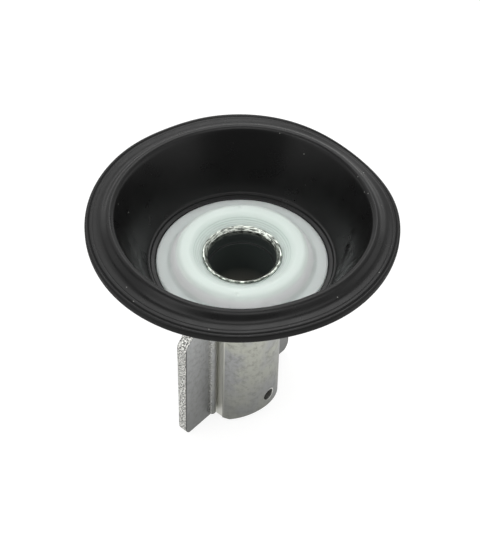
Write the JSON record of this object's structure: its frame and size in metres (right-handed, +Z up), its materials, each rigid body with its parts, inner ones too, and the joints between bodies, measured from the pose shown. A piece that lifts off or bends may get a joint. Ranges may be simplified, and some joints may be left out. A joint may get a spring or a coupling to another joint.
{
  "type": "carburettor vacuum diaphragm",
  "caption": "Black rubber vacuum diaphragm on a cast slide with guide fins, held by a white plastic ring and the slide's flared neck.",
  "frame": {"origin": "on the slide's axis, at the flat of its foot", "axes": "+Z up along the slide's axis, from the foot to the diaphragm's open mouth; the guide fins lie along X, and the vacuum port and the cutaway of the foot face -Y"},
  "size_m": [0.062, 0.062, 0.0553],
  "materials": {
    "cast_alloy": "matt die-cast, lightly grained",
    "black_rubber": "satin moulded",
    "white_plastic": "smooth semi-gloss"
  },
  "bodies": {
    "root": {"slide": "cast_alloy", "diaphragm": "black_rubber", "retaining_ring": "white_plastic"}
  },
  "joints": []
}
